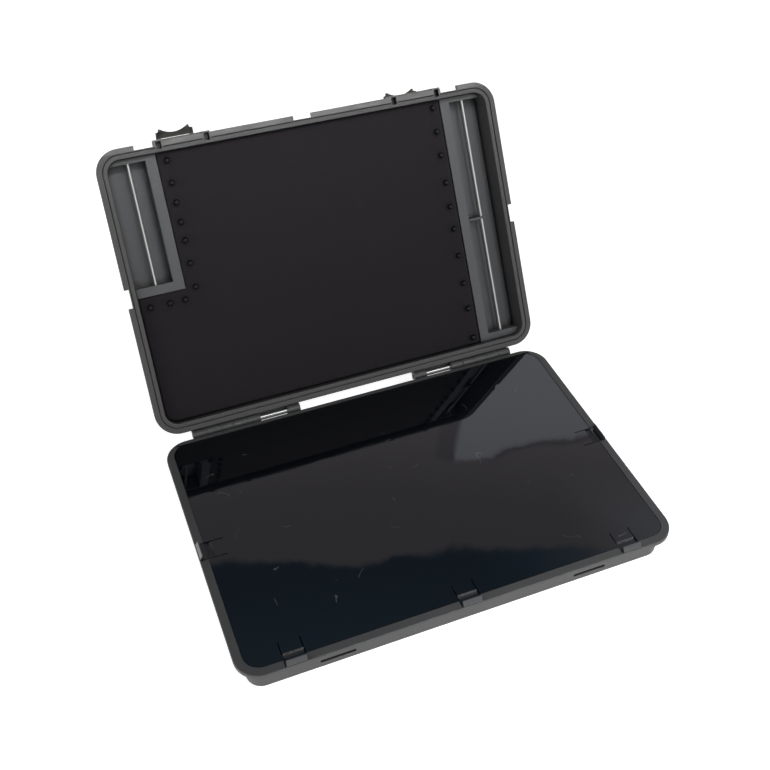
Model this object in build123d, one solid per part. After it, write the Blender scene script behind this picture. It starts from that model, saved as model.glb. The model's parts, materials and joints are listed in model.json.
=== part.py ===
from build123d import *
import os

# A fishing rig box in two moulded halves. The near half lies on the table and the far half, the lid,
# stands open behind it on two pinned hinges. Millimetres; +X along the hinge, +Y from front to hinge,
# +Z up, origin at the middle of the near half's underside.
os.makedirs("parts", exist_ok=True)

# Case halves
case_length = 365.0
case_depth = 250.0
base_height = 28.0
lid_height = 26.5
rim_radius = 20.5
rim_width = 9.0
rim_thickness = 4.0
rim_edge_round = 0.6
wall_thickness = 2.5
wall_draft = 1.5
floor_thickness = 2.5
underside_radius = 3.5
floor_corner_radius = 2.0
open_angle = 120.4

# Seal groove in the lid's rim
groove_inset = 4.7
groove_width = 0.9
groove_depth = 1.5

# Case hinges
hinge_gap = 4.0
knuckle_radius = 3.75
knuckle_pitch = 12.35
knuckle_gap = 0.3
hinge_end_inset = 27.9
outer_knuckle_count = 5
inner_knuckle_number = 7
hinge_pin_radius = 1.5
pin_clearance = 0.05
hinge_pin_set_back = 1.0
web_overlap = 0.8
leaf_gap = 0.3
leaf_thickness = 1.6
leaf_reach = 3.9
leaf_chamfer = 0.8

# Smoked cover of the near half
cover_thickness = 2.0
cover_drop = 0.4
cover_seat_inset = 6.8
cover_seat_rear_inset = 3.7
cover_gap = 0.3
cover_rest_gap = 0.1
peg_radius = 0.8
peg_length = 5.5
peg_set_in = 2.0
peg_end_gap = 0.3
corner_relief_past_root = 4.0
corner_relief_reach = 4.0

# Sprung clips of the cover
clip_width = 16.0
clip_slit = 0.8
clip_root_inset = 22.5
clip_end_inset = 43.0
clip_bar_outer = 1.8
clip_bar_inner = 3.6
clip_bar_foot = 0.6
clip_bar_foot_low = 0.4
clip_bar_foot_high = 1.0
clip_bar_top_outer = 2.6
clip_bar_top_inner = 3.4
clip_bar_height = 4.5
clip_scoop_start = 7.2
clip_scoop_width = 5.3
clip_scoop_depth = 1.1
clip_pocket_outer = 1.5
notch_width = 16.5
notch_depth = 3.9

# Latches of the lid
latch_end_inset = 76.1
latch_pivot_inset = 1.5
latch_pivot_depth = 11.5
latch_pin_radius = 1.25
latch_hub_radius = 2.7
latch_hub_half = 16.8
latch_half_width = 16.5
latch_leg_width = 3.5
latch_leg_inner = 2.0
latch_leg_thickness = 2.0
latch_leg_chamfer = 1.0
latch_reach = 30.7
latch_lip_thickness = 2.2
latch_prong = 7.5
latch_prong_middle = 3.5
latch_lip_inner = 0.6
latch_prong_tip = 13.5
latch_prong_base = 13.7
latch_prong_shoulder = 5.3
latch_lip_corner = 4.8
latch_prong_inner = 11.8
left_latch_lean = 8.0
right_latch_lean = -2.0
catch_width = 28.0
catch_clearance = 0.35
catch_arc_room = 0.4
ear_spacing = 41.3
ear_width = 6.9
ear_stand_out = 1.2
ear_slot_width = 4.5
ear_slot_height = 6.5
ear_slot_depth = 6.0
ear_slot_border = 0.2
ear_foot = 5.5
latch_pin_half = 23.0

# Rig board, channels and rods inside the lid
board_depth = 6.5
board_thickness = 10.0
board_rib_spacing = 75.0
board_rib_thickness = 2.0
board_rib_count = 4
board_rib_gap = 0.1
short_rib_u = 30.0
short_rib_end = 118.0
fit_gap = 0.3
channel_width = 51.5
channel_flange = 9.0
channel_plate = 2.0
channel_wall = 2.0
channel_floor_depth = 21.6
channel_floor = 2.0
left_channel_start = 127.0
left_channel_flange = 8.0
channel_end_inset = 14.0
right_channel_open_start = 20.0
rod_radius = 1.35
rod_u = 27.8
rod_depth = 11.4
rod_groove_width = 4.0
rod_groove_depth = 0.8
rib_v = 130.0
rib_thickness = 2.0
rib_past_rod = 2.3
rib_above_rod = 1.8

# Pins pushed into the rig board
pin_head_radius = 2.75
pin_head_top = 0.6
pin_head_height = 3.2
pin_head_chamfer = 0.8
pin_shaft_radius = 0.5
pin_tip_depth = 18.0
pin_column_inset = 60.0
left_pin_shares = (0.932, 0.856, 0.788, 0.72, 0.656, 0.576, 0.492)
low_pin_set_back = 9.0
low_pin_columns = (49.0, 35.5, 18.5)
right_pin_shares = (0.936, 0.85, 0.764, 0.662, 0.572, 0.488, 0.386, 0.28, 0.182, 0.068)

# Foam pad on the near half's floor
pad_thickness = 4.0

# How far a cut runs past the face that it opens
cut_past = 1.0

# Places worked out from the sizes above
half_length = case_length / 2
half_depth = case_depth / 2
wall_inset = rim_width - wall_thickness
front_v = hinge_gap + case_depth
lid_floor_depth = lid_height - floor_thickness
board_bottom = -board_depth - board_thickness
cover_inset = cover_seat_inset + cover_gap
cover_top = -cover_drop
cover_bottom = cover_top - cover_thickness
seat_depth = cover_drop + cover_thickness + cover_rest_gap
cover_rear_inset = cover_seat_rear_inset + cover_gap
leaf_top = -knuckle_radius - leaf_gap
leaf_bottom = leaf_top - leaf_thickness
pivot_v = front_v - latch_pivot_inset
channel_open_u = channel_width - channel_flange
channel_open_end = front_v - channel_end_inset
clip_spacing = half_length - clip_end_inset
latch_x = half_length - latch_end_inset
hinge_outer_x = half_length - hinge_end_inset
near_place = Pos(0, 0, base_height)
lid_place = Pos(0, half_depth + hinge_gap, base_height) * Rot(180 - open_angle, 0, 0)


def outline(inset, z):
    """Outline of the case, drawn in from its outer edge by inset, at height z."""
    sheet = RectangleRounded(case_length - 2 * inset, case_depth - 2 * inset, rim_radius - inset)
    return Pos(0, 0, z) * sheet


def cover_outline(inset, rear_inset, z):
    """Outline of the cover or its seat, which lie nearer to the hinge than to the front, at height z."""
    sheet = RectangleRounded(case_length - 2 * inset, case_depth - inset - rear_inset, rim_radius - inset)
    return Pos(0, (inset - rear_inset) / 2, z) * sheet


def block(x0, x1, y0, y1, z0, z1):
    """Box between two corners."""
    low = (min(x0, x1), min(y0, y1), min(z0, z1))
    size = (abs(x1 - x0), abs(y1 - y0), abs(z1 - z0))
    return Pos(*low) * Box(*size, align=(Align.MIN, Align.MIN, Align.MIN))


def rod_between(x0, x1, y, z, radius):
    """Round bar along X."""
    return Pos((x0 + x1) / 2, y, z) * Rot(0, 90, 0) * Cylinder(radius, abs(x1 - x0))


def side_profile(points, x0, x1):
    """Solid with a profile in the Y and Z directions, from x0 to x1."""
    face = Plane.YZ * make_face(Polyline(*points, close=True))
    return Pos(x0, 0, 0) * extrude(face, x1 - x0, dir=(1, 0, 0))


def cavity(height, gap):
    """Hollow of a case half with its rim plane at z = 0, made smaller all round by gap."""
    low = outline(rim_width + wall_draft + gap, floor_thickness + gap - height)
    high = outline(rim_width + gap, 0)
    hollow = loft([low, high], ruled=True)
    return fillet(hollow.edges().group_by(Axis.Z)[0], floor_corner_radius)


def tray_shell(height):
    """Case half with its rim plane at z = 0: a drafted wall under an overhanging rim."""
    wall = loft([outline(wall_inset + wall_draft, -height), outline(wall_inset, -rim_thickness)], ruled=True)
    wall = fillet(wall.edges().group_by(Axis.Z)[0], underside_radius)
    rim = extrude(outline(0, -rim_thickness), rim_thickness)
    rim = fillet(rim.edges().group_by(Axis.Z)[-1], rim_edge_round)
    return wall + rim - cavity(height, 0)


def knuckle_span(index, side):
    """Ends along X of one hinge knuckle; side is -1 for the left hinge and 1 for the right one."""
    outer = hinge_outer_x - index * knuckle_pitch - knuckle_gap / 2
    inner = hinge_outer_x - (index + 1) * knuckle_pitch + knuckle_gap / 2
    return sorted((side * outer, side * inner))


def knuckles(numbers, web_bottom):
    """Knuckles of both hinges about the X axis, each on a web that reaches the rim on the +Y side."""
    shape = Part()
    for side in (-1, 1):
        for index in numbers:
            x0, x1 = knuckle_span(index, side)
            barrel = rod_between(x0, x1, 0, 0, knuckle_radius)
            web = block(x0, x1, 0, hinge_gap + web_overlap, web_bottom, -rim_edge_round)
            shape += barrel + web
    return shape


def hinge_leaf(side):
    """Leaf of the lid that passes behind one hinge's knuckles and its bare pin and joins the lid's wall."""
    wall_v = hinge_gap + wall_inset + wall_thickness / 2
    points = [
        (-leaf_reach, leaf_top),
        (hinge_gap, leaf_top),
        (hinge_gap + web_overlap, -rim_thickness / 2),
        (wall_v, -rim_thickness / 2),
        (wall_v, leaf_bottom),
        (leaf_chamfer - leaf_reach, leaf_bottom),
        (-leaf_reach, leaf_bottom + leaf_chamfer),
    ]
    outer = knuckle_span(0, side)
    inner = knuckle_span(inner_knuckle_number, side)
    return side_profile(points, min(outer + inner), max(outer + inner))


def hinge_bore():
    """Bore for the hinge pins, along the whole hinge axis."""
    return rod_between(-half_length, half_length, 0, 0, hinge_pin_radius + pin_clearance)


def clip_places():
    """Name and place of each clip, drawn for a clip that points to -Y with its rim edge at y = 0."""
    front = Pos(0, -half_depth, 0)
    return {
        "clip_front_left": Pos(-clip_spacing, 0, 0) * front,
        "clip_front_middle": front,
        "clip_front_right": Pos(clip_spacing, 0, 0) * front,
        "clip_side_left": Pos(-half_length, 0, 0) * Rot(0, 0, -90),
        "clip_side_right": Pos(half_length, 0, 0) * Rot(0, 0, 90),
    }


def clip_slot():
    """Cut in the cover that frees one tongue, open at the cover's edge."""
    half = clip_width / 2 + clip_slit
    return block(-half, half, 0, clip_root_inset, cover_bottom - cut_past, cover_top + cut_past)


def clip_pocket():
    """Recess in the near rim that the tongue and its finger bar drop into."""
    half = clip_width / 2 + clip_slit
    return block(-half, half, clip_pocket_outer, rim_width, -seat_depth, cut_past)


def clip():
    """Tongue with a raised finger bar at its end and a scoop for a fingertip behind the bar."""
    half = clip_width / 2
    points = [
        (clip_root_inset, cover_bottom),
        (clip_bar_outer, cover_bottom),
        (clip_bar_outer, clip_bar_foot_low),
        (clip_bar_foot, clip_bar_foot_low),
        (clip_bar_foot, clip_bar_foot_high),
        (clip_bar_top_outer, clip_bar_height),
        (clip_bar_top_inner, clip_bar_height),
        (clip_bar_inner, cover_top),
        (clip_root_inset, cover_top),
    ]
    scoop_radius = (clip_scoop_width**2 / 4 + clip_scoop_depth**2) / (2 * clip_scoop_depth)
    scoop_y = clip_scoop_start + clip_scoop_width / 2
    scoop = rod_between(-half, half, scoop_y, cover_top - clip_scoop_depth + scoop_radius, scoop_radius)
    return side_profile(points, -half, half) - scoop


def cover_axis_y():
    """Distance of the cover's turning axis behind the middle of the case."""
    return half_depth - cover_rear_inset - cover_thickness / 2


def peg_root():
    """Distance along X where the cover's edge leaves the turning axis, at each rear corner."""
    radius = rim_radius - cover_inset
    straight = half_length - cover_inset - radius
    return straight + (radius**2 - (radius - cover_thickness / 2) ** 2) ** 0.5


def inner_cover():
    """Smoked plate on the near half, with a rounded rear edge and a peg at each rear corner."""
    plate = extrude(cover_outline(cover_inset, cover_rear_inset, cover_bottom), cover_thickness)
    middle = cover_top - cover_thickness / 2
    front = block(-half_length, half_length, -half_depth, cover_axis_y(), cover_bottom - cut_past, cover_top + cut_past)
    rear_edge = rod_between(-half_length, half_length, cover_axis_y(), middle, cover_thickness / 2)
    plate = (plate & front) + (plate & rear_edge)
    for side in (-1, 1):
        start = side * (peg_root() - peg_set_in)
        end = side * (peg_root() + peg_length)
        plate += rod_between(start, end, cover_axis_y(), middle, peg_radius)
    for place in clip_places().values():
        plate -= place * clip_slot()
    return plate


def near_tray():
    """Half that lies on the table, with the cover's seat, clip pockets, catches and near knuckles."""
    tray = tray_shell(base_height)
    tray -= extrude(cover_outline(cover_seat_inset, cover_seat_rear_inset, -seat_depth), seat_depth + cut_past)
    relief = peg_root() + corner_relief_past_root
    relief_front = cover_axis_y() - corner_relief_reach
    tray -= block(-relief, relief, relief_front, half_depth - cover_seat_rear_inset, -seat_depth, cut_past)
    for place in clip_places().values():
        tray -= place * clip_pocket()
    socket_end = peg_root() + peg_length + peg_end_gap
    middle = cover_top - cover_thickness / 2
    tray -= rod_between(-socket_end, socket_end, cover_axis_y(), middle, peg_radius + pin_clearance)
    near_lip = latch_pivot_depth - latch_reach + latch_lip_thickness
    far_lip = latch_pivot_depth - latch_reach - catch_arc_room
    for side in (-1, 1):
        x = side * latch_x
        tray -= block(
            x - catch_width / 2,
            x + catch_width / 2,
            -half_depth + wall_inset - cut_past,
            -half_depth + rim_width + wall_draft + cut_past,
            far_lip - catch_clearance,
            near_lip + catch_clearance,
        )
    hinge_place = Pos(0, half_depth + hinge_gap, 0)
    tray += hinge_place * mirror(knuckles(range(0, outer_knuckle_count, 2), -knuckle_radius), Plane.XZ)
    tray -= hinge_place * hinge_bore()
    return tray


def near_pad():
    """Thin foam pad on the near half's floor."""
    top = floor_thickness + fit_gap + pad_thickness - base_height
    return cavity(base_height, fit_gap) & block(-half_length, half_length, -half_depth, half_depth, -base_height, top)


def latch_ear():
    """One ear of a latch seat, about x = 0, with a blind slot in the rim's face."""
    foot_v = front_v - wall_inset - wall_draft / 2
    stand_v = front_v + ear_stand_out
    points = [
        (foot_v, 0),
        (stand_v, 0),
        (stand_v, -latch_pivot_depth),
        (pivot_v, -latch_pivot_depth - latch_hub_radius),
        (foot_v, -latch_pivot_depth - ear_foot),
    ]
    ear = side_profile(points, -ear_width / 2, ear_width / 2)
    return ear + rod_between(-ear_width / 2, ear_width / 2, pivot_v, -latch_pivot_depth, latch_hub_radius)


def ear_slot():
    """Blind slot through the rim in front of an ear, about x = 0."""
    top_v = front_v - ear_slot_border
    half = ear_slot_width / 2
    return block(-half, half, top_v - ear_slot_height, top_v, -ear_slot_depth, cut_past)


def board_ribs():
    """Ribs on the lid's floor that carry the foam board."""
    top = board_bottom - board_rib_gap
    low = -lid_floor_depth - cut_past
    half = board_rib_thickness / 2
    ribs = Part()
    for index in range(board_rib_count):
        x = (index - 1) * board_rib_spacing - board_rib_spacing / 2
        ribs += block(x - half, x + half, hinge_gap + rim_width, front_v - rim_width, low, top)
    x = short_rib_u - half_length
    ribs += block(x - half, x + half, hinge_gap + rim_width, short_rib_end, low, top)
    return ribs


def far_tray():
    """Lid half, drawn with its rim plane at z = 0 and the hinge axis along X through the origin."""
    middle = Pos(0, hinge_gap + half_depth, 0)
    tray = middle * tray_shell(lid_height)
    ring = extrude(outline(groove_inset, -groove_depth), groove_depth + cut_past)
    ring -= extrude(outline(groove_inset + groove_width, -groove_depth), groove_depth + cut_past)
    tray -= middle * ring
    for x in (-clip_spacing, 0, clip_spacing):
        tray -= block(x - notch_width / 2, x + notch_width / 2, front_v - notch_depth, front_v + cut_past, -rim_thickness - cut_past, cut_past)
    for side in (-1, 1):
        mid_v = hinge_gap + half_depth
        x = side * half_length
        tray -= block(
            x - side * notch_depth,
            x + side * cut_past,
            mid_v - notch_width / 2,
            mid_v + notch_width / 2,
            -rim_thickness - cut_past,
            cut_past,
        )
        for end in (-1, 1):
            at_ear = Pos(side * latch_x + end * ear_spacing / 2, 0, 0)
            tray += at_ear * latch_ear()
            tray -= at_ear * ear_slot()
        tray -= rod_between(
            side * latch_x - latch_pin_half - fit_gap,
            side * latch_x + latch_pin_half + fit_gap,
            pivot_v,
            -latch_pivot_depth,
            latch_pin_radius + pin_clearance,
        )
    tray += knuckles([*range(1, outer_knuckle_count, 2), inner_knuckle_number], leaf_bottom)
    tray += hinge_leaf(-1) + hinge_leaf(1)
    tray -= hinge_bore()
    return tray + board_ribs()


def latch():
    """Latch about its pivot, as when shut: +Y outwards and +Z towards the near half."""
    hub = rod_between(-latch_hub_half, latch_hub_half, 0, 0, latch_hub_radius)
    outer = latch_leg_inner + latch_leg_thickness
    inner = latch_half_width - latch_leg_width
    leg_points = [
        (0, -latch_hub_radius),
        (outer - latch_leg_chamfer, -latch_hub_radius),
        (outer, latch_leg_chamfer - latch_hub_radius),
        (outer, latch_reach),
        (latch_leg_inner, latch_reach),
        (latch_leg_inner, latch_hub_radius + latch_leg_thickness),
        (0, latch_hub_radius),
    ]
    legs = side_profile(leg_points, inner, latch_half_width)
    legs += side_profile(leg_points, -latch_half_width, -inner)
    edge = Polyline(
        (-latch_prong_inner, -latch_prong),
        (-latch_prong_tip, -latch_prong),
        (-latch_prong_base, -latch_prong_shoulder),
        (-latch_half_width, -latch_lip_corner),
        (-latch_half_width, latch_leg_inner),
        (-inner, latch_leg_inner),
        (-inner, latch_lip_inner),
        (inner, latch_lip_inner),
        (inner, latch_leg_inner),
        (latch_half_width, latch_leg_inner),
        (latch_half_width, -latch_lip_corner),
        (latch_prong_base, -latch_prong_shoulder),
        (latch_prong_tip, -latch_prong),
        (latch_prong_inner, -latch_prong),
    )
    hollow = ThreePointArc(
        (latch_prong_inner, -latch_prong), (0, -latch_prong_middle), (-latch_prong_inner, -latch_prong)
    )
    lip = Pos(0, 0, latch_reach - latch_lip_thickness) * extrude(make_face(edge + hollow), latch_lip_thickness)
    bore = rod_between(-latch_hub_half - cut_past, latch_hub_half + cut_past, 0, 0, latch_pin_radius + pin_clearance)
    return hub + legs + lip - bore


def latch_place(side, lean):
    """Place of a released latch in the lid; lean is its turn outwards from straight back."""
    return Pos(side * latch_x, pivot_v, -latch_pivot_depth) * Rot(lean - 180, 0, 0)


def lid_hollow():
    """Hollow of the lid, less the fitting gap."""
    return Pos(0, hinge_gap + half_depth, 0) * cavity(lid_height, fit_gap)


def foam_board():
    """Foam board, cut away for both channels."""
    right_end = half_length - channel_width - fit_gap
    board = lid_hollow() & block(-half_length, right_end, 0, front_v, board_bottom, -board_depth)
    board -= block(
        -half_length, channel_width + fit_gap - half_length, left_channel_start - fit_gap, front_v, -lid_height, 0
    )
    return board


def channel(open_start, start):
    """Three-sided channel against the lid's left wall, with a flange, end walls, a floor and rod bores."""
    top = -board_depth
    wall_u = channel_open_u + channel_wall
    body = block(0, channel_width, start, front_v, top - channel_plate, top)
    body += block(
        0, wall_u, open_start - channel_wall, channel_open_end + channel_wall, -channel_floor_depth - channel_floor, top
    )
    body -= block(-cut_past, channel_open_u, open_start, channel_open_end, -channel_floor_depth, cut_past)
    body -= block(
        rod_u - rod_groove_width / 2,
        rod_u + rod_groove_width / 2,
        open_start,
        channel_open_end,
        -channel_floor_depth - rod_groove_depth,
        0,
    )
    return body


def rod(start, end, radius):
    """Round bar along the channel, drawn at its distance from the case's left edge."""
    return Pos(rod_u, (start + end) / 2, -rod_depth) * Rot(90, 0, 0) * Cylinder(radius, end - start)


def rod_ends(open_start):
    """Ends of a rod inside the end walls of its channel."""
    return open_start - channel_wall + fit_gap, channel_open_end + channel_wall - fit_gap


def rod_bore(open_start):
    """Bore for a rod through both end walls of its channel."""
    low = open_start - channel_wall - cut_past
    return rod(low, channel_open_end + channel_wall + cut_past, rod_radius + pin_clearance)


def left_channel():
    """Short channel at the left of the rig board."""
    start = left_channel_start + left_channel_flange
    body = channel(start, left_channel_start)
    body -= rod_bore(start)
    return Pos(-half_length, 0, 0) * body & lid_hollow()


def right_channel():
    """Long channel at the right, with a rib that holds the rod at half length."""
    body = channel(right_channel_open_start, 0)
    rib_top = rod_depth - rod_radius - rib_above_rod
    body += block(
        rod_u - rib_past_rod,
        channel_open_u,
        rib_v - rib_thickness / 2,
        rib_v + rib_thickness / 2,
        -channel_floor_depth - rod_groove_depth,
        -rib_top,
    )
    body -= rod_bore(right_channel_open_start)
    return Pos(half_length, 0, 0) * mirror(body, Plane.YZ) & lid_hollow()


def left_pins():
    """Places of the left pins, from the case's left edge and from the hinge axis."""
    low_v = left_channel_start - low_pin_set_back
    column = [(pin_column_inset, hinge_gap + share * case_depth) for share in left_pin_shares]
    return column + [(u, low_v) for u in low_pin_columns]


def right_pins():
    """Places of the right pins."""
    return [(case_length - pin_column_inset, hinge_gap + share * case_depth) for share in right_pin_shares]


def pin_shaft(u, v):
    """Steel shaft of one pin, from its head down through the board."""
    top = -pin_head_top - pin_head_height
    return Pos(u - half_length, v, (top - pin_tip_depth) / 2) * Cylinder(pin_shaft_radius, top + pin_tip_depth)


def pin_head(u, v):
    """Chamfered head of one pin."""
    head = Cylinder(pin_head_radius, pin_head_height)
    head = chamfer(head.edges().group_by(Axis.Z)[-1], pin_head_chamfer)
    place = Pos(u - half_length, v, -pin_head_top - pin_head_height / 2)
    return place * head


def group(solids):
    """Separate solids kept together in one piece."""
    return Compound(children=[s for solid in solids for s in solid.solids()])


def hinge_pin(side):
    """Steel pin through one hinge's knuckles."""
    outer = hinge_outer_x - hinge_pin_set_back
    inner = hinge_outer_x - (inner_knuckle_number + 1) * knuckle_pitch + hinge_pin_set_back
    return rod_between(side * inner, side * outer, half_depth + hinge_gap, 0, hinge_pin_radius)


def latch_pin(side):
    """Pin that one latch turns on."""
    x = side * latch_x
    return rod_between(x - latch_pin_half, x + latch_pin_half, pivot_v, -latch_pivot_depth, latch_pin_radius)


pieces = {
    "near_tray": near_place * near_tray(),
    "near_pad": near_place * near_pad(),
    "left_hinge_pin": near_place * hinge_pin(-1),
    "right_hinge_pin": near_place * hinge_pin(1),
    "inner_cover": near_place * inner_cover(),
    "far_tray": lid_place * far_tray(),
    "foam_board": lid_place * foam_board(),
    "left_channel": lid_place * left_channel(),
    "right_channel": lid_place * right_channel(),
    "left_rod": lid_place * Pos(-half_length, 0, 0) * rod(*rod_ends(left_channel_start + left_channel_flange), rod_radius),
    "right_rod": lid_place
    * Pos(half_length - 2 * rod_u, 0, 0)
    * rod(*rod_ends(right_channel_open_start), rod_radius),
    "left_pin_heads": lid_place * group([pin_head(u, v) for u, v in left_pins()]),
    "right_pin_heads": lid_place * group([pin_head(u, v) for u, v in right_pins()]),
    "left_pin_shafts": lid_place * group([pin_shaft(u, v) for u, v in left_pins()]),
    "right_pin_shafts": lid_place * group([pin_shaft(u, v) for u, v in right_pins()]),
    "left_latch": lid_place * latch_place(-1, left_latch_lean) * latch(),
    "right_latch": lid_place * latch_place(1, right_latch_lean) * latch(),
    "left_latch_pin": lid_place * latch_pin(-1),
    "right_latch_pin": lid_place * latch_pin(1),
}
for name, place in clip_places().items():
    pieces[name] = near_place * place * clip()

for name, piece in pieces.items():
    export_step(piece, f"parts/{name}.step")
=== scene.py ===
"""Looks of a hinged fishing rig box: case halves, smoked cover, foam rig board, pins, rods and stage."""

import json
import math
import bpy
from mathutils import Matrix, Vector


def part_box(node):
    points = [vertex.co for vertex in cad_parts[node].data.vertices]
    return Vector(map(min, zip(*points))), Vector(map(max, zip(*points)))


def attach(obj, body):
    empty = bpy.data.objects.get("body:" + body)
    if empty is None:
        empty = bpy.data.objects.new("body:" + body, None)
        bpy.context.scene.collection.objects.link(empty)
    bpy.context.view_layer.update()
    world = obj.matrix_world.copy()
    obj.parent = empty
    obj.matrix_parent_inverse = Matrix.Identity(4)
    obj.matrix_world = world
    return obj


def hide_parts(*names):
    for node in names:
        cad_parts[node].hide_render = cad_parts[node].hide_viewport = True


bl_info = {
    "name": "Rig Box Dressing",
    "version": (1, 0, 0),
    "blender": (4, 5, 0),
    "location": "View3D > Sidebar > Rig Box",
    "description": "Dresses the hinged rig box: grained case, smoked cover, foam board, pins, rods and stage",
    "category": "Object",
}

import bmesh
import bpy
from mathutils import Matrix, Vector

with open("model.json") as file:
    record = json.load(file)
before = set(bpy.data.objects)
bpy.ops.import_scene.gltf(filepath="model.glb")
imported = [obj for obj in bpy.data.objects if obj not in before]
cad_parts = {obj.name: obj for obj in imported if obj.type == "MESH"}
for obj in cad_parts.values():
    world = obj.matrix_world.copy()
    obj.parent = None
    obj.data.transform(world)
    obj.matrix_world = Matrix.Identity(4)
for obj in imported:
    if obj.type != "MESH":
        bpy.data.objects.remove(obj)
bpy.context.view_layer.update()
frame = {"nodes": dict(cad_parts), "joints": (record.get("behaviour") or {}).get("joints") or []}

# The lid's own frame: X along the hinge, Y from the hinge to the lid's front, Z out of its open side
case_hinge = next(j for j in frame["joints"] if j["name"] == "case_hinge")
lid_tilt = math.pi + math.radians(case_hinge["range_deg"][0])
lid_frame = Matrix.Translation(case_hinge["pos_m"]) @ Matrix.Rotation(lid_tilt, 4, "X")

channel_nodes = ("left_channel", "right_channel")
clip_nodes = ("clip_front_left", "clip_front_middle", "clip_front_right", "clip_side_left", "clip_side_right")
lid_rods = ("left_rod", "right_rod")
hinge_bars = ("left_hinge_pin", "right_hinge_pin", "left_latch_pin", "right_latch_pin")
pin_columns = {"left_pin_heads": "left_pins_dressed", "right_pin_heads": "right_pins_dressed"}
shaft_nodes = ("left_pin_shafts", "right_pin_shafts")

# Lengths in metres: of the finishes, the gap that joins points, and the foam's top layer, which dents
moulding_edge = 0.0007
groove_shade_reach = 0.008
plate_wave = 0.09
plate_wave_depth = 0.00025
weld = 0.000001
dent_layer = 0.001

# Half of a latch lip's outline in metres, X across: finger hollow, horn and shoulder, back
hollow_steps = 6
hollow_half = 0.0122
hollow_front = -0.0035
hollow_depth = 0.0038
lip_horn = (
    (0.0129, -0.00752), (0.01345, -0.0073), (0.0137, -0.0067), (0.0137, -0.0056), (0.0142, -0.0049),
    (0.0151, -0.0044), (0.0159, -0.0036), (0.01635, -0.0026), (0.0165, -0.0015),
)
lip_back = ((0.0165, 0.002), (0.013, 0.002), (0.013, 0.0006))

# Half section of a pin's head of radius 1: a flat rim below a low dome with a small dimple
head_section = (
    (0.0, -0.58), (0.86, -0.58), (0.97, -0.5), (1.0, -0.38), (0.98, -0.26), (0.93, -0.16), (0.84, 0.12),
    (0.7, 0.36), (0.52, 0.5), (0.36, 0.57), (0.2, 0.58), (0.12, 0.52), (0.0, 0.49),
)
head_steps = 28
head_tilt = 0.05

# Place, soft box size, aim and spread in degrees of each lamp, whose power is the stage setting of its name
lamps = {
    "key": ((0.55, -1.25, 1.2), (1.3, 0.9), (0, 0.1, 0.1), 180),
    "side": ((-1.4, -0.2, 0.9), (0.8, 1.2), (0, 0.1, 0.1), 180),
    "lid": ((0.1, 0.0, 0.62), (0.6, 0.08), (0.05, 0.3, 0.28), 55),
    "tray": ((0.25, -0.6, 0.8), (0.5, 0.2), (0.1, -0.16, 0.03), 60),
}
floor_half = 6
floor_paint = (0.72, 0.72, 0.72, 1)

# What the cover mirrors, in the X and Z parts of a direction: height of an edge over a span of X
screen_span = (0.3, 0.42)
screen_edge = ((0.0, 0.728), (0.3, 0.724), (0.4, 0.718), (0.65, 0.709), (0.9, 0.706), (1.0, 0.7))
screen_side = 0.32
screen_foot = 0.704
screen_lean = 0.62
ceiling_span = (0.08, 0.42)
ceiling_edge = ((0.0, 0.779), (0.3, 0.789), (0.48, 0.784), (0.65, 0.777), (0.82, 0.773), (1.0, 0.763))

# Spans over which things there fade in, the blur of edges, the levels they add and their tints
fold_scale = 26.0
fold_depth = 0.014
wall_level = 0.3
wall_glow = 0.14
wall_glow_z = (0.76, 0.69)
wall_tint = (1.0, 0.93, 1.0, 1)
screen_level = 0.37
screen_blur = 0.0015
screen_tint = (0.94, 0.98, 1.08, 1)
corner_level = 0.2
corner_x = (0.37, 0.46)
corner_z = (0.715, 0.75)
crease_level = 0.12
crease_width = (0.004, 0.001)
crease_x = (0.33, 0.35)
strip_level = 0.6
strip_width = (-0.0165, -0.0135)
ceiling_level = 0.13
ceiling_blur = 0.0025
ceiling_x = (0.46, 0.33)
ceiling_tint = (0.52, 0.8, 1.08, 1)
ceiling_rise = 0.06
ceiling_rise_z = (0.785, 0.84)
ceiling_side = 0.1
ceiling_side_x = (0.28, 0.42)
beam_level = 0.05
beam_width = (0.004, 0.009)
beam_foot = 0.83
beam_lean = 0.02
behind_y = (-0.1, 0.2)
behind_z = (0.3, 0.45)
front_floor_z = (0.42, 0.3)


class RigBoxSizes(bpy.types.PropertyGroup):
    """Sizes of what the dressing adds to the case."""

    grain: bpy.props.FloatProperty(
        name="Case grain", description="Width of one grain of the moulded surface",
        default=0.0006, unit="LENGTH",
    )
    # Start of the painted light that makes the lid's far rim band paler, measured from the hinge
    lid_lit_band_start: bpy.props.FloatProperty(
        name="Scuffed from", description="How far from the hinge the lid's rim is scuffed",
        default=0.2491, unit="LENGTH",
    )
    left_lean: bpy.props.FloatProperty(
        name="Left latch lean", description="How far the left latch hangs outwards",
        default=math.radians(8), unit="ROTATION",
    )
    right_lean: bpy.props.FloatProperty(
        name="Right latch lean", description="How far the right latch hangs outwards",
        default=math.radians(-2), unit="ROTATION",
    )
    lip_thickness: bpy.props.FloatProperty(
        name="Latch lip", description="Thickness of a latch's finger lip",
        default=0.0022, unit="LENGTH",
    )
    lip_round: bpy.props.FloatProperty(
        name="Lip rounding", description="Rounding of a latch lip's edges",
        default=0.00045, unit="LENGTH",
    )
    foam_cell: bpy.props.FloatProperty(
        name="Foam cell", description="Width of one cell of the foam", default=0.0009, unit="LENGTH"
    )
    foam_voxel: bpy.props.FloatProperty(
        name="Foam voxel", description="Mesh size of the foam board", default=0.0022, unit="LENGTH"
    )
    foam_dent: bpy.props.FloatProperty(
        name="Foam dent", description="How deep the foam sinks round each pin",
        default=0.0006, unit="LENGTH",
    )
    foam_dent_width: bpy.props.FloatProperty(
        name="Foam dent width", description="How far from a pin the foam sinks",
        default=0.0042, unit="LENGTH",
    )
    pin_radius: bpy.props.FloatProperty(
        name="Pin head radius", description="Radius of a pin's head", default=0.00275, unit="LENGTH"
    )


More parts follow.
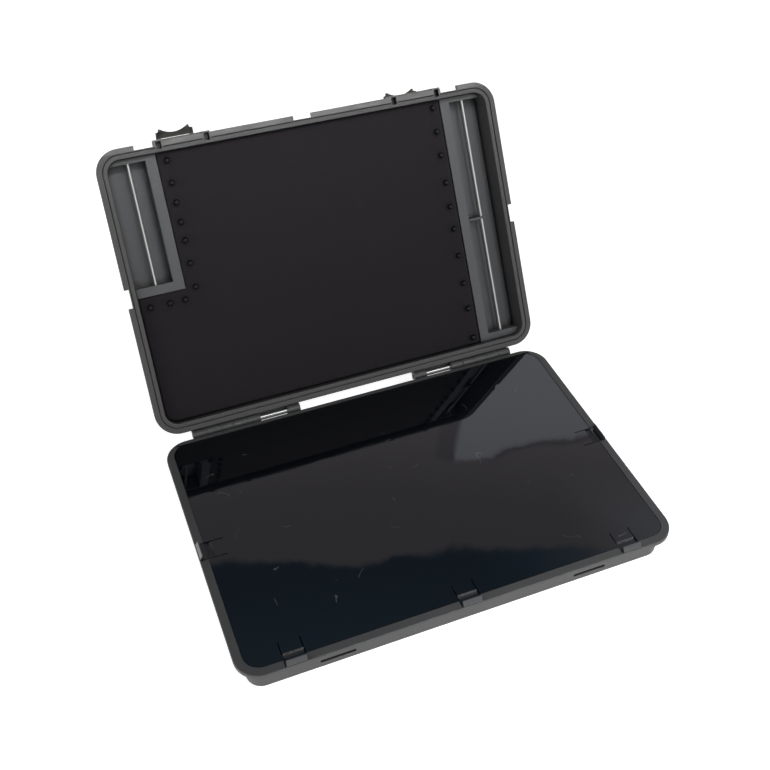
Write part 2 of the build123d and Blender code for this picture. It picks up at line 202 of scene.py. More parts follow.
class RigBoxColours(bpy.types.PropertyGroup):
    """Colours of the box's finishes."""

    case: bpy.props.FloatVectorProperty(
        name="Case", description="Moulded plastic of both halves", subtype="COLOR", size=4, min=0, max=1,
        default=(0.049, 0.049, 0.049, 1),
    )
    channel: bpy.props.FloatVectorProperty(
        name="Channels", description="Moulded plastic of the channels", subtype="COLOR", size=4, min=0, max=1,
        default=(0.064, 0.066, 0.071, 1),
    )
    latch: bpy.props.FloatVectorProperty(
        name="Latches", description="Moulded plastic of the latches", subtype="COLOR", size=4, min=0, max=1,
        default=(0.115, 0.115, 0.1, 1),
    )
    foam: bpy.props.FloatVectorProperty(
        name="Foam", description="Closed-cell foam of board and pad", subtype="COLOR", size=4, min=0, max=1,
        default=(0.0098, 0.008, 0.0105, 1),
    )
    cover: bpy.props.FloatVectorProperty(
        name="Cover", description="Smoked clear plate", subtype="COLOR", size=4, min=0, max=1,
        default=(0.0014, 0.0021, 0.0036, 1),
    )
    finger_bar: bpy.props.FloatVectorProperty(
        name="Finger bars", description="Rubbed bars of the clips", subtype="COLOR", size=4, min=0, max=1,
        default=(0.029, 0.032, 0.037, 1),
    )
    pin: bpy.props.FloatVectorProperty(
        name="Pins", description="Glossy heads of the pins", subtype="COLOR", size=4, min=0, max=1,
        default=(0.003, 0.003, 0.0035, 1),
    )
    steel: bpy.props.FloatVectorProperty(
        name="Steel", description="Rods and pins of drawn steel", subtype="COLOR", size=4, min=0, max=1,
        default=(0.46, 0.46, 0.45, 1),
    )


class RigBoxStage(bpy.types.PropertyGroup):
    """Camera, lamps and floor."""

    camera_place: bpy.props.FloatVectorProperty(
        name="Camera place", description="Where the camera stands", subtype="TRANSLATION", unit="LENGTH",
        default=(-0.24298, -0.56761, 0.71881),
    )
    camera_turn: bpy.props.FloatVectorProperty(
        name="Camera turn", description="How the camera is turned", subtype="EULER", unit="ROTATION",
        default=(0.86195, -0.00771, -0.38395),
    )
    camera_shift: bpy.props.FloatVectorProperty(
        name="Camera shift", description="How far the picture lies off the camera's axis",
        size=2, precision=5, default=(-0.02226, -0.05464),
    )
    lens: bpy.props.FloatProperty(name="Lens", description="Focal length in millimetres", default=51.247)
    key: bpy.props.FloatProperty(
        name="Key lamp", description="Power of the front lamp",
        default=3.5, unit="POWER",
    )
    side: bpy.props.FloatProperty(
        name="Side lamp", description="Power of the side lamp",
        default=5.0, unit="POWER",
    )
    lid: bpy.props.FloatProperty(
        name="Lid lamp", description="Power of the lamp above the lid",
        default=0.3, unit="POWER",
    )
    tray: bpy.props.FloatProperty(
        name="Tray lamp", description="Power of the lamp above the near half's front",
        default=0.6, unit="POWER",
    )
    sky: bpy.props.FloatProperty(name="Sky", description="Strength of the light from all round", default=0.24)
    floor_glow: bpy.props.FloatProperty(
        name="Floor glow", description="Light that the camera sees on the floor besides its own",
        default=0.25,
    )
    floor_gloss: bpy.props.FloatProperty(
        name="Floor in gloss", description="Light that glossy faces see on the floor besides its own",
        default=0.1,
    )
    floor_bounce: bpy.props.FloatProperty(
        name="Floor bounce", description="Light that the floor gives off by itself", default=0.6
    )
    front_gloss: bpy.props.FloatProperty(
        name="Front in gloss", description="How bright glossy faces see the studio in front",
        default=0.45,
    )


class Term:
    """A number in a node tree, whose operators add Math nodes."""

    def __init__(self, bench, socket):
        self.bench = bench
        self.socket = socket

    def __add__(self, other):
        return self.bench.maths("ADD", self, other)

    __radd__ = __add__

    def __sub__(self, other):
        return self.bench.maths("SUBTRACT", self, other)

    def __rsub__(self, other):
        return self.bench.maths("SUBTRACT", other, self)

    def __mul__(self, other):
        return self.bench.maths("MULTIPLY", self, other)

    __rmul__ = __mul__

    def __truediv__(self, other):
        return self.bench.maths("DIVIDE", self, other)


class Bench:
    """A node tree under way, with one method that makes any node."""

    def __init__(self, tree):
        self.tree = tree

    def node(self, kind, settings=None, inputs=None):
        """Makes a node: its settings first, a ramp's stops among them, then its sockets' values or links."""
        made = self.tree.nodes.new(kind)
        for name, value in (settings or {}).items():
            if name == "stops":
                ramp = made.color_ramp.elements
                while len(ramp) < len(value):
                    ramp.new(0.5)
                for stop, (place, shade) in zip(ramp, value):
                    stop.position = place
                    stop.color = shade
            else:
                setattr(made, name, value)
        for name, value in (inputs or {}).items():
            socket = made.inputs[name]
            if isinstance(value, Term):
                value = value.socket
            if isinstance(value, bpy.types.NodeSocket):
                self.tree.links.new(value, socket)
            else:
                socket.default_value = value
        return made

    def maths(self, operation, *values):
        """A Math node on numbers or terms."""
        made = self.node("ShaderNodeMath", {"operation": operation}, dict(enumerate(values)))
        return Term(self, made.outputs[0])

    def between(self, low, high, value):
        """0 below low, 1 above high, smooth between."""
        made = self.node(
            "ShaderNodeMapRange",
            {"interpolation_type": "SMOOTHSTEP"},
            {"Value": value, "From Min": low, "From Max": high},
        )
        return Term(self, made.outputs[0])

    def outline(self, value, low, high, stops):
        """Height of a line through stops, each a share of the way from low to high and a height."""
        stops = [(place, (height, height, height, 1)) for place, height in stops]
        share = (value - low) / (high - low)
        return Term(self, self.node("ShaderNodeValToRGB", {"stops": stops}, {0: share}).outputs[0])

    def mix(self, share, first, second):
        """First colour where share is 0, second where it is 1."""
        made = self.node("ShaderNodeMix", {"data_type": "RGBA"}, {0: share, 6: first, 7: second})
        return made.outputs[2]

    def rays(self):
        """1 for rays straight from the camera or through clear plastic, and 1 for mirrored rays."""
        path = self.node("ShaderNodeLightPath").outputs
        kinds = ("Is Camera Ray", "Is Transmission Ray", "Is Glossy Ray")
        camera, through, glossy = (Term(self, path[kind]) for kind in kinds)
        return self.maths("MAXIMUM", camera, through), glossy


class Finish(Bench):
    """A material under way, on Object coordinates."""

    def __init__(self, name, turned=None):
        self.material = bpy.data.materials.new(name)
        self.material.use_nodes = True
        super().__init__(self.material.node_tree)
        self.tree.nodes.clear()
        self.place = self.node("ShaderNodeTexCoord").outputs["Object"]
        if turned is not None:
            self.place = self.mapped(Rotation=turned)

    def mapped(self, **how):
        """The place turned or stretched."""
        return self.node("ShaderNodeMapping", None, {"Vector": self.place, **how}).outputs[0]

    def noise(self, size, detail=2.0, stretch=None):
        """Noise from 0 to 1 whose patches are about size metres wide."""
        place = self.place if stretch is None else self.mapped(Scale=stretch)
        made = self.node("ShaderNodeTexNoise", None, {"Vector": place, "Scale": 1 / size, "Detail": detail})
        return Term(self, made.outputs["Fac"])

    def cells(self, size):
        """Distance to the nearest cell middle, in cells."""
        made = self.node("ShaderNodeTexVoronoi", None, {"Vector": self.place, "Scale": 1 / size})
        return Term(self, made.outputs["Distance"])

    def specks(self, size, width):
        """Sparse round specks, one in a few cells of that size."""
        made = self.node("ShaderNodeTexVoronoi", None, {"Vector": self.place, "Scale": 1 / size})
        chance = self.node("ShaderNodeSeparateColor", None, {0: made.outputs["Color"]}).outputs[0]
        chosen = self.between(0.55, 0.6, Term(self, chance))
        return self.between(width / size, width / size * 0.5, Term(self, made.outputs["Distance"])) * chosen

    def axis(self, letter):
        """One coordinate of the place."""
        return Term(self, self.node("ShaderNodeSeparateXYZ", None, {0: self.place}).outputs[letter])

    def rounded(self, radius):
        """Normal of the surface as if its edges were rounded, and 0 to 1 where an edge is near."""
        soft = self.node("ShaderNodeBevel", {"samples": 6}, {"Radius": radius}).outputs[0]
        flat = self.node("ShaderNodeNewGeometry").outputs["Normal"]
        made = self.node("ShaderNodeVectorMath", {"operation": "DOT_PRODUCT"}, {0: soft, 1: flat})
        return soft, self.between(0.999, 0.88, Term(self, made.outputs["Value"]))

    def hollow(self, reach):
        """0 on open faces to 1 deep in grooves and corners."""
        made = self.node("ShaderNodeAmbientOcclusion", {"samples": 6}, {"Distance": reach})
        return 1 - Term(self, made.outputs["AO"])

    def relief(self, height, depth, soft=None):
        """Normal of a surface with that relief, depth metres deep, over a softened normal where given."""
        inputs = {"Strength": 1.0, "Distance": depth, "Height": height}
        if soft is not None:
            inputs["Normal"] = soft
        return self.node("ShaderNodeBump", None, inputs).outputs[0]

    def close(self, **sockets):
        """Ends the material in its shader; names hold _ for a space."""
        inputs = {name.replace("_", " "): value for name, value in sockets.items()}
        shader = self.node("ShaderNodeBsdfPrincipled", None, inputs)
        self.node("ShaderNodeOutputMaterial", None, {"Surface": shader.outputs[0]})
        return self.material


def tone(colour, by):
    """A colour, lighter or darker by a share."""
    return (*(min(1.0, c * by) for c in colour[:3]), 1.0)


def moulded(name, colour, grain, gloss=0.42, turned=None, lit_band_from=None, shaded=True):
    """Moulded plastic with a fine grain and faint marks, paler past a given Y as painted light, with edge
    wear and a painted highlight on edges and painted shade in grooves.
    """
    finish = Finish(name, turned)
    cloud = finish.noise(0.045, 3.0)
    patch = finish.noise(0.012, 2.0)
    fine = finish.noise(grain, 2.0)
    streak = finish.noise(0.004, 2.0, (0.12, 1.0, 1.0))
    worn = finish.between(0.6, 0.78, streak) * finish.between(0.45, 0.7, patch)
    soft = None
    base = finish.mix(cloud * 0.7 + patch * 0.3, tone(colour, 0.82), tone(colour, 1.2))
    base = finish.mix(fine * 0.22, base, tone(colour, 1.9))
    base = finish.mix(worn * 0.12, base, tone(colour, 3.0))
    if shaded:
        soft, edge = finish.rounded(moulding_edge)
        # Paler along edges: a painted highlight, with some edge wear
        base = finish.mix(edge * (patch * 0.5 + 0.1), base, tone(colour, 2.4))
    # Painted light: past that Y the lid's rim band is painted paler, in soft patches
    if lit_band_from is not None:
        lit_patch = finish.between(0.3, 0.75, finish.noise(0.006, 2.0, (0.3, 1.0, 1.0)))
        past = finish.between(lit_band_from, lit_band_from + 0.001, finish.axis("Y"))
        base = finish.mix(past * (lit_patch * 0.3 + 0.25), base, tone(colour, 5.0))
    if shaded:
        # Painted shade: darker in grooves, slots and corners, where less light reaches
        groove_shade = finish.between(0.18, 0.5, finish.hollow(groove_shade_reach))
        base = finish.mix(groove_shade * 0.95, base, tone(colour, 0.1))
    rough = cloud * 0.14 + fine * 0.12 + (gloss - 0.1) - worn * 0.08
    return finish.close(
        Base_Color=base,
        Roughness=rough,
        Normal=finish.relief(fine * 0.8 + patch * 0.6, grain * 0.09, soft),
        Specular_IOR_Level=0.5,
    )


def smoked(name, colour, see_through, rim=None, bar_colour=None):
    """Polished smoked plate with a clear skin; a clip's is satin above the rim and dull in its scoop."""
    finish = Finish(name)
    wave = finish.noise(plate_wave, 1.0)
    scuff = finish.noise(0.0016, 1.0, (1.0, 0.05, 1.0))
    rubbed = finish.between(0.66, 0.8, scuff) * finish.between(0.5, 0.7, wave)
    strand = finish.maths("ABSOLUTE", finish.noise(0.026, 1.0) - 0.5)
    hair = finish.between(0.0045, 0.0015, strand) * finish.between(0.67, 0.69, finish.noise(0.02, 1.0))
    speck = finish.maths("MAXIMUM", finish.specks(0.03, 0.0005), hair * 0.5)
    base = finish.mix(rubbed * 0.1, tone(colour, 1.0), tone(colour, 6.0))
    base = finish.mix(speck, base, (0.16, 0.17, 0.18, 1))
    rough = wave * 0.01 + rubbed * 0.05 + 0.008
    clear = see_through + speck * 0.1
    skin = 1.0
    if rim is not None:
        bar = finish.between(rim + 0.0001, rim + 0.0004, finish.axis("Z"))
        scoop = finish.between(rim - 0.00002, rim - 0.0002, finish.axis("Z"))
        base = finish.mix(bar, base, tone(bar_colour, 1.0))
        base = finish.mix(scoop, base, tone(bar_colour, 0.4))
        rough = rough + bar * 0.3 + scoop * 0.5
        clear = clear + bar * (1 - see_through)
        skin = 1 - scoop
    return finish.close(
        Base_Color=base,
        Roughness=rough,
        Alpha=clear,
        Normal=finish.relief(wave, plate_wave_depth),
        IOR=1.5,
        Coat_Weight=skin,
        Coat_Roughness=0.004,
        Coat_IOR=1.45,
    )


def foam(name, colour, cell):
    """Closed-cell foam with a skin of small cells, and lighter where it has been rubbed."""
    finish = Finish(name, (-lid_tilt, 0, 0))
    pores = finish.cells(cell)
    fine = finish.noise(cell * 0.6, 3.0)
    cloud = finish.noise(0.05, 3.0)
    rubbed = finish.between(0.5, 0.75, finish.noise(0.018, 3.0, (1.0, 0.45, 1.0)))
    base = finish.mix(pores * 0.6 + fine * 0.4, tone(colour, 0.75), tone(colour, 1.45))
    base = finish.mix(cloud * 0.3 + rubbed * 0.2, base, tone(colour, 1.5))
    return finish.close(
        Base_Color=base,
        Roughness=fine * 0.1 + 0.88,
        Normal=finish.relief(pores + fine * 0.5, cell * 0.22),
        Specular_IOR_Level=0.35,
        Sheen_Weight=0.06,
        Sheen_Roughness=0.5,
    )


def steel(name, colour, along, turned=None):
    """Drawn steel, with fine lines along the bar."""
    finish = Finish(name, turned)
    lines = finish.noise(0.0004, 2.0, along)
    stain = finish.noise(0.01, 2.0)
    base = finish.mix(lines * 0.5 + stain * 0.3, tone(colour, 0.8), tone(colour, 1.25))
    return finish.close(
        Base_Color=base,
        Metallic=1.0,
        Roughness=lines * 0.14 + stain * 0.08 + 0.2,
        Normal=finish.relief(lines, 0.000012),
    )


def glossy_black(name, colour):
    """Polished black plastic of the pins' heads."""
    finish = Finish(name)
    cloud = finish.noise(0.0012, 2.0)
    return finish.close(
        Base_Color=finish.mix(cloud, tone(colour, 0.7), tone(colour, 1.6)),
        Roughness=cloud * 0.06 + 0.18,
        Normal=finish.relief(cloud, 0.00002),
        Specular_IOR_Level=0.2,
    )


def wear(node_names, material):
    """Gives CAD nodes a material."""
    for name in node_names:
        slots = frame["nodes"][name].material_slots
        for index in range(len(slots)):
            slots[index].material = material
        if not slots:
            frame["nodes"][name].data.materials.append(material)


def merged_copy(node_name):
    """A CAD node's mesh with its loose triangles joined, as a bmesh."""
    work = bmesh.new()
    work.from_mesh(frame["nodes"][node_name].data)
    bmesh.ops.remove_doubles(work, verts=work.verts, dist=weld)
    return work


def island_middles(node_name):
    """Middle of the box of each separate solid of a CAD node."""
    work = merged_copy(node_name)
    left = set(work.verts)
    middles = []
    while left:
        reached = {left.pop()}
        edge = list(reached)
        while edge:
            for link in edge.pop().link_edges:
                for vert in link.verts:
                    if vert in left:
                        left.discard(vert)
                        reached.add(vert)
                        edge.append(vert)
        points = [lid_frame.inverted() @ v.co for v in reached]
        low = Vector(min(p[i] for p in points) for i in range(3))
        high = Vector(max(p[i] for p in points) for i in range(3))
        middles.append((low + high) / 2)
    work.free()
    return sorted(middles, key=lambda p: (round(p.y, 5), round(p.x, 5)))


def new_piece(name, mesh, material, smooth=True):
    """A mesh object of the model, at the origin."""
    mesh.name = name
    mesh.materials.clear()
    mesh.materials.append(material)
    for face in mesh.polygons:
        face.use_smooth = smooth
    piece = bpy.data.objects.new(name, mesh)
    bpy.context.scene.collection.objects.link(piece)
    return piece


def settled(piece):
    """The evaluated mesh of a piece, with its modifiers left behind."""
    bpy.context.view_layer.update()
    graph = bpy.context.evaluated_depsgraph_get()
    mesh = bpy.data.meshes.new_from_object(piece.evaluated_get(graph), depsgraph=graph)
    piece.modifiers.clear()
    return mesh


class RIGBOX_OT_stage(bpy.types.Operator):
    """Sets up the floor, the lamps, the world and the camera"""

    bl_idname = "rigbox.stage"
    bl_label = "Stage"

    def execute(self, context):
        stage = context.scene.rig_box_stage
        self.floor(stage)
        self.world(stage)
        for name, setting in lamps.items():
            self.lamp(name + "_lamp", getattr(stage, name), *setting)
        camera = bpy.data.objects.new("camera", bpy.data.cameras.new("camera"))
        camera.location = stage.camera_place
        camera.rotation_euler = stage.camera_turn
        camera.data.lens = stage.lens
        camera.data.sensor_width = 36
        camera.data.shift_x, camera.data.shift_y = stage.camera_shift
        camera.data.clip_start = 0.02
        camera.data.clip_end = 60
        context.scene.collection.objects.link(camera)
        context.scene.camera = camera
        context.scene.view_settings.view_transform = "Standard"
        return {"FINISHED"}

    def floor(self, stage):
        work = bmesh.new()
        bmesh.ops.create_grid(work, x_segments=8, y_segments=8, size=floor_half)
        mesh = bpy.data.meshes.new("floor")
        work.to_mesh(mesh)
        work.free()
        floor = new_piece("floor", mesh, self.floor_material(stage), False)

    def floor_material(self, stage):
        """White paper that keeps the object's shadow and throws light up at the box's walls."""
        finish = Finish("studio_floor")
        straight, glossy = finish.rays()
        glow = straight * stage.floor_glow + glossy * stage.floor_gloss + stage.floor_bounce
        paint = finish.node("ShaderNodeBsdfDiffuse", None, {"Color": floor_paint})
        light = finish.node("ShaderNodeEmission", None, {"Color": (1, 1, 1, 1), "Strength": glow})
        both = finish.node("ShaderNodeAddShader", None, {0: paint.outputs[0], 1: light.outputs[0]})
        finish.node("ShaderNodeOutputMaterial", None, {"Surface": both.outputs[0]})
        return finish.material

    def world(self, stage):
        """Light from all round, white for the camera, with a darker ceiling in what the gloss mirrors."""
        world = bpy.data.worlds.new("studio")
        bpy.context.scene.world = world
        world.use_nodes = True
        bench = Bench(world.node_tree)
        bench.tree.nodes.clear()
        straight, glossy = bench.rays()
        way = bench.node("ShaderNodeTexCoord").outputs["Generated"]
        split = bench.node("ShaderNodeSeparateXYZ", None, {0: way}).outputs
        x, y, z = (Term(bench, split[i]) for i in range(3))
        creased = {"Vector": way, "Scale": fold_scale, "Detail": 4.0, "Roughness": 0.6}
        folds = bench.node("ShaderNodeTexNoise", None, creased)
        ripple = (Term(bench, folds.outputs["Fac"]) - 0.5) * fold_depth
        grey = wall_level + bench.between(*wall_glow_z, z) * wall_glow
        screen, crease = self.screen(bench, x, z, ripple)
        corner = bench.between(*corner_x, x) * bench.between(*corner_z, z)
        dark = self.ceiling(bench, x, z, ripple)
        navy = ceiling_level + bench.between(*ceiling_rise_z, z) * ceiling_rise
        navy = navy + bench.between(*ceiling_side_x, x) * ceiling_side
        beam = bench.between(*beam_width, z + ripple * 2 - beam_foot - x * beam_lean)
        navy = navy + beam * beam_level
        level = grey + screen * screen_level + corner * corner_level - crease * crease_level
        level = level * (1 - dark) + navy * dark
        behind = bench.between(*behind_y, y) * bench.between(*behind_z, z)
        front = stage.front_gloss + bench.between(*front_floor_z, z) * (1 - stage.front_gloss)
        level = level * behind + front * (1 - behind)
        tint = bench.mix(screen + corner, wall_tint, screen_tint)
        tint = bench.mix(dark, tint, ceiling_tint)
        tint = bench.mix(behind * glossy, (1, 1, 1, 1), tint)
        strength = straight + (1 - straight) * (glossy * level + (1 - glossy) * stage.sky)
        light = bench.node("ShaderNodeBackground", None, {"Color": tint, "Strength": strength})
        bench.node("ShaderNodeOutputWorld", None, {"Surface": light.outputs[0]})

    def screen(self, bench, x, z, ripple):
        """Pale crumpled screen behind at the right, and the dark fold along its lower edge."""
        below = z + ripple - bench.outline(x, *screen_span, screen_edge)
        past = x + (z - screen_foot) * screen_lean - screen_side
        left = bench.between(-screen_blur, screen_blur, past + ripple * 0.15)
        screen = left * bench.between(screen_blur, -screen_blur, below)
        fold = bench.between(*crease_width, bench.maths("ABSOLUTE", below)) * bench.between(*crease_x, x)
        strip = bench.between(*strip_width, past) * (1 - left)
        strip = strip * bench.between(screen_blur, -screen_blur, below)
        return screen, bench.maths("MAXIMUM", fold, strip * strip_level)

    def ceiling(self, bench, x, z, ripple):
        """Dark ceiling, whose edge fades out to the right."""
        above = z + ripple - bench.outline(x, *ceiling_span, ceiling_edge)
        return bench.between(-ceiling_blur, ceiling_blur, above) * bench.between(*ceiling_x, x)

    def lamp(self, name, power, place, size, aim, spread):
        data = bpy.data.lights.new(name, "AREA")
        data.spread = math.radians(spread)
        data.shape = "RECTANGLE"
        data.size, data.size_y = size
        data.energy = power
        lamp = bpy.data.objects.new(name, data)
        lamp.location = place
        lamp.rotation_euler = (Vector(aim) - Vector(place)).to_track_quat("-Z", "Y").to_euler()
        bpy.context.scene.collection.objects.link(lamp)


class RIGBOX_OT_case(bpy.types.Operator):
    """Gives both case halves their grained dark plastic"""

    bl_idname = "rigbox.case"
    bl_label = "Case halves"

    def execute(self, context):
        sizes, colours = context.scene.rig_box_sizes, context.scene.rig_box_colours
        colour = tuple(colours.case)
        wear(("near_tray",), moulded("case_moulding", colour, sizes.grain))
        hinge = lid_frame.translation
        # The lid's far rim band is painted paler from this distance on: painted light
        front = hinge.y * math.cos(lid_tilt) + hinge.z * math.sin(lid_tilt) + sizes.lid_lit_band_start
        wear(("far_tray",), moulded("lid_moulding", colour, sizes.grain, 0.42, (-lid_tilt, 0, 0), front))
        return {"FINISHED"}


class RIGBOX_OT_channels(bpy.types.Operator):
    """Gives the rod channels their satin plastic"""

    bl_idname = "rigbox.channels"
    bl_label = "Rod channels"

    def execute(self, context):
        sizes, colours = context.scene.rig_box_sizes, context.scene.rig_box_colours
        wear(channel_nodes, moulded("channel_moulding", tuple(colours.channel), sizes.grain * 0.7, 0.4))
        return {"FINISHED"}


class RIGBOX_OT_latches(bpy.types.Operator):
    """Makes the latches, with a rounded finger lip on the legs, in their darker matt plastic"""

    bl_idname = "rigbox.latches"
    bl_label = "Latches"

    def execute(self, context):
        sizes, colours = context.scene.rig_box_sizes, context.scene.rig_box_colours
        material = moulded("latch_moulding", tuple(colours.latch), sizes.grain, 0.46, shaded=False)
        for node, lean in (("left_latch", sizes.left_lean), ("right_latch", sizes.right_lean)):
            pivot = next(j["pos_m"] for j in frame["joints"] if j["child"] == node)
            place = Matrix.Translation(pivot) @ Matrix.Rotation(lid_tilt + lean - math.pi, 4, "X")
            mesh = self.latch(node, place, sizes)
            mesh.transform(place)
            piece = new_piece(node + "_dressed", mesh, material, False)
            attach(piece, node)
            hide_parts(node)
        return {"FINISHED"}

    def latch(self, node, place, sizes):
        """The CAD latch's hub and legs in the latch's own frame, with a new lip across the legs' ends."""
        work = merged_copy(node)
        bmesh.ops.transform(work, matrix=place.inverted(), verts=work.verts)
        end = max(v.co.z for v in work.verts)
        foot = end - sizes.lip_thickness
        everything = work.verts[:] + work.edges[:] + work.faces[:]
        bmesh.ops.bisect_plane(
            work, geom=everything, plane_co=(0, 0, foot), plane_no=(0, 0, 1), clear_outer=True
        )
        for cap in bmesh.ops.holes_fill(work, edges=[e for e in work.edges if e.is_boundary])["faces"]:
            cap.normal_update()
            if cap.normal.z < 0:
                cap.normal_flip()
        mesh = bpy.data.meshes.new(node + "_dressed")
        work.to_mesh(mesh)
        work.free()
        mesh.attributes.remove(mesh.attributes["custom_normal"])
        work = self.lip(foot, end, sizes.lip_round)
        work.from_mesh(mesh)
        work.to_mesh(mesh)
        work.free()
        return mesh

    def lip(self, foot, end, edge):
        """The finger lip between two heights, hollow in front between two horns, as a bmesh."""
        work = bmesh.new()
        shares = [step / hollow_steps for step in range(hollow_steps + 1)]
        hollow = [(hollow_half * share, hollow_front - hollow_depth * share ** 2) for share in shares]
        half = [*hollow, *lip_horn, *lip_back]
        outline = half + [(-x, y) for x, y in reversed(half[1:])]
        low = [work.verts.new((x, y, foot)) for x, y in outline]
        face = work.faces.new(low)
        grown = bmesh.ops.extrude_face_region(work, geom=[face])["geom"]
        top = [g for g in grown if isinstance(g, bmesh.types.BMVert)]
        bmesh.ops.translate(work, vec=(0, 0, end - foot), verts=top)
        rims = [e for e in work.edges if abs(e.verts[0].co.z - e.verts[1].co.z) < weld]
        bmesh.ops.bevel(
            work, geom=rims, offset=edge, segments=3, profile=0.5, affect="EDGES", clamp_overlap=True
        )
        bmesh.ops.recalc_face_normals(work, faces=work.faces)
        return work


class RIGBOX_OT_cover(bpy.types.Operator):
    """Gives the cover and its sprung clips their smoked plate"""

    bl_idname = "rigbox.cover"
    bl_label = "Smoked cover and clips"

    def execute(self, context):
        colours = context.scene.rig_box_colours
        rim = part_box("inner_cover")[1][2]
        wear(("inner_cover",), smoked("smoked_plate", tuple(colours.cover), 0.9))
        wear(clip_nodes, smoked("smoked_clip", tuple(colours.cover), 0.9, rim, tuple(colours.finger_bar)))
        return {"FINISHED"}


class RIGBOX_OT_bars(bpy.types.Operator):
    """Gives the rods, hinge pins, latch pins and pin shafts their drawn steel"""

    bl_idname = "rigbox.bars"
    bl_label = "Rods and pins of steel"

    def execute(self, context):
        colour = tuple(context.scene.rig_box_colours.steel)
        wear(lid_rods, steel("rod_steel", colour, (1.0, 0.04, 1.0), (-lid_tilt, 0, 0)))
        wear(hinge_bars, steel("hinge_steel", colour, (0.04, 1.0, 1.0)))
        wear(shaft_nodes, steel("shaft_steel", tone(colour, 0.8), (1.0, 1.0, 0.1), (-lid_tilt, 0, 0)))
        return {"FINISHED"}


class RIGBOX_OT_foam(bpy.types.Operator):
    """Makes the foam rig board and the pad on the near half's floor"""

    bl_idname = "rigbox.foam"
    bl_label = "Foam board and pad"

    def execute(self, context):
        sizes, colours = context.scene.rig_box_sizes, context.scene.rig_box_colours
        material = foam("board_foam", tuple(colours.foam), sizes.foam_cell)
        board = self.softened("foam_board", "rig_board_foam", material, sizes.foam_voxel, lid_frame)
        pins = [p for node in pin_columns for p in island_middles(node)]
        self.dent(board, pins, sizes)
        pad = self.softened("near_pad", "near_pad_foam", material, sizes.foam_voxel, Matrix())
        for piece, node, body in ((board, "foam_board", "lid"), (pad, "near_pad", "base")):
            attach(piece, body)
            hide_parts(node)
        return {"FINISHED"}

    def softened(self, node, name, material, voxel, own_frame):
        """Copy of a foam solid with even faces and edges that are eased as cut foam is."""
        work = merged_copy(node)
        bmesh.ops.transform(work, matrix=own_frame.inverted(), verts=work.verts)
        mesh = bpy.data.meshes.new(name)
        work.to_mesh(mesh)
        work.free()
        piece = new_piece(name, mesh, material)
        remesh = piece.modifiers.new("even", "REMESH")
        remesh.mode = "VOXEL"
        remesh.voxel_size = voxel
        ease = piece.modifiers.new("ease", "SMOOTH")
        ease.factor = 0.5
        ease.iterations = 2
        mesh = settled(piece)
        mesh.transform(own_frame)
        mesh.materials.clear()
        mesh.materials.append(material)
        for face in mesh.polygons:
            face.use_smooth = True
        piece.data = mesh
        return piece

    def dent(self, board, pins, sizes):
        """Sinks the foam a little round each pin."""
        back = lid_frame.inverted()
        top = max((back @ v.co).z for v in board.data.vertices)
        for vert in board.data.vertices:
            place = back @ vert.co
            if place.z < top - dent_layer:
                continue
            near = min((place.xy - pin.xy).length for pin in pins)
            place.z -= sizes.foam_dent * math.exp(-((near / sizes.foam_dent_width) ** 2))
            vert.co = lid_frame @ place


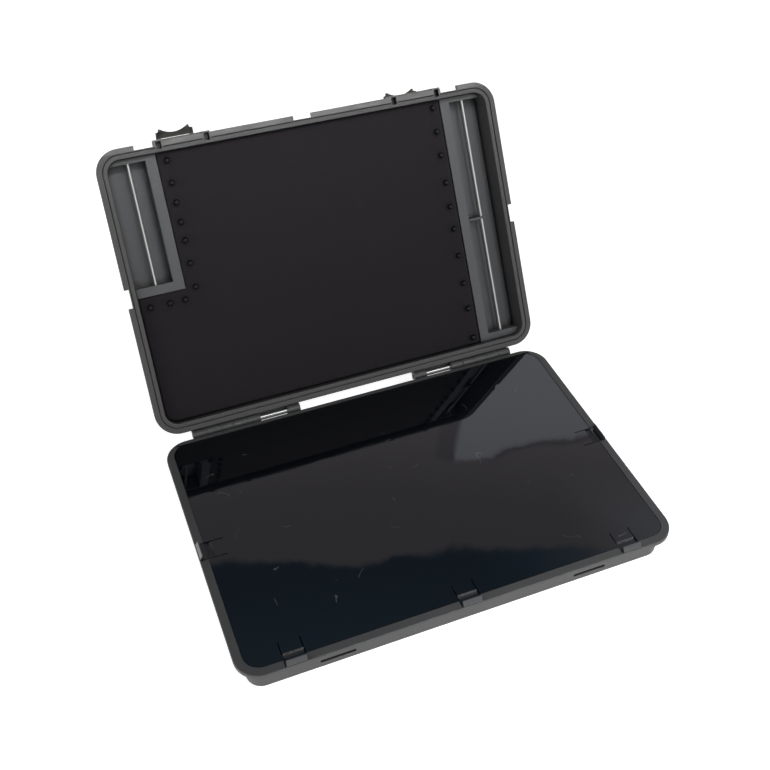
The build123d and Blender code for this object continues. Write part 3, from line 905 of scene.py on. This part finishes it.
class RIGBOX_OT_pins(bpy.types.Operator):
    """Puts a turned head on each pin of the rig board"""

    bl_idname = "rigbox.pins"
    bl_label = "Pin heads"

    def execute(self, context):
        sizes, colours = context.scene.rig_box_sizes, context.scene.rig_box_colours
        material = glossy_black("pin_black", tuple(colours.pin))
        head = self.head(material)
        tree, keys = self.tree()
        for node, name in pin_columns.items():
            mesh = bpy.data.meshes.new(name)
            mesh.from_pydata(island_middles(node), [], [])
            piece = new_piece(name, mesh, material)
            modifier = piece.modifiers.new("heads", "NODES")
            modifier.node_group = tree
            modifier[keys["Head"]] = head
            modifier[keys["Radius"]] = sizes.pin_radius
            modifier[keys["Finish"]] = material
            mesh = settled(piece)
            mesh.transform(lid_frame)
            piece.data = mesh
            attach(piece, "lid")
            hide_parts(node)
        bpy.data.objects.remove(head)
        return {"FINISHED"}

    def head(self, material):
        """A turned head of radius 1."""
        work = bmesh.new()
        verts = [work.verts.new((r, 0, z)) for r, z in head_section]
        edges = [work.edges.new(pair) for pair in zip(verts, verts[1:])]
        bmesh.ops.spin(
            work, geom=verts + edges, cent=(0, 0, 0), axis=(0, 0, 1), angle=2 * math.pi, steps=head_steps,
            use_merge=True,
        )
        bmesh.ops.remove_doubles(work, verts=work.verts, dist=1e-4)
        bmesh.ops.recalc_face_normals(work, faces=work.faces)
        mesh = bpy.data.meshes.new("pin_head_form")
        work.to_mesh(mesh)
        work.free()
        return new_piece("pin_head_form", mesh, material)

    def tree(self):
        """Geometry Nodes that put the head on every point, and the identifiers of its inputs."""
        tree = bpy.data.node_groups.new("pin_heads", "GeometryNodeTree")
        tree.interface.new_socket("Geometry", in_out="OUTPUT", socket_type="NodeSocketGeometry")
        kinds = {"Geometry": "Geometry", "Head": "Object", "Radius": "Float", "Finish": "Material"}
        keys = {
            name: tree.interface.new_socket(name, in_out="INPUT", socket_type="NodeSocket" + kind).identifier
            for name, kind in kinds.items()
        }
        bench = Bench(tree)
        given = bench.node("NodeGroupInput").outputs
        head = bench.node("GeometryNodeObjectInfo", None, {"Object": given["Head"]})
        low, high = (-head_tilt, -head_tilt, 0.0), (head_tilt, head_tilt, 6.28)
        spin = bench.node(
            "FunctionNodeRandomValue", {"data_type": "FLOAT_VECTOR"}, {"Min": low, "Max": high, "Seed": 7}
        )
        placed = bench.node(
            "GeometryNodeInstanceOnPoints",
            None,
            {
                "Points": given["Geometry"],
                "Instance": head.outputs["Geometry"],
                "Rotation": spin.outputs[0],
                "Scale": given["Radius"],
            },
        )
        real = bench.node("GeometryNodeRealizeInstances", None, {"Geometry": placed.outputs[0]})
        worn = {"Geometry": real.outputs[0], "Material": given["Finish"]}
        done = bench.node("GeometryNodeSetMaterial", None, worn)
        bench.node("NodeGroupOutput", None, {"Geometry": done.outputs[0]})
        return tree, keys


making = (
    RIGBOX_OT_stage,
    RIGBOX_OT_case,
    RIGBOX_OT_channels,
    RIGBOX_OT_latches,
    RIGBOX_OT_cover,
    RIGBOX_OT_bars,
    RIGBOX_OT_foam,
    RIGBOX_OT_pins,
)


class RIGBOX_PT_panel(bpy.types.Panel):
    """Lists the dressing's steps with their sizes and colours"""

    bl_idname = "RIGBOX_PT_panel"
    bl_label = "Rig Box"
    bl_space_type = "VIEW_3D"
    bl_region_type = "UI"
    bl_category = "Rig Box"

    def draw(self, context):
        for step in making:
            self.layout.operator(step.bl_idname)
        for group in groups:
            settings = getattr(context.scene, group)
            box = self.layout.box()
            for name in settings.__annotations__:
                box.prop(settings, name)


groups = {"rig_box_sizes": RigBoxSizes, "rig_box_colours": RigBoxColours, "rig_box_stage": RigBoxStage}


def register():
    for kind in (*groups.values(), *making, RIGBOX_PT_panel):
        bpy.utils.register_class(kind)
    for name, kind in groups.items():
        setattr(bpy.types.Scene, name, bpy.props.PointerProperty(type=kind))


def unregister():
    for name in groups:
        delattr(bpy.types.Scene, name)
    for kind in reversed((*groups.values(), *making, RIGBOX_PT_panel)):
        bpy.utils.unregister_class(kind)


def main():
    register()
    for step in making:
        family, name = step.bl_idname.split(".")
        getattr(getattr(bpy.ops, family), name)()


if __name__ == "__main__":
    main()
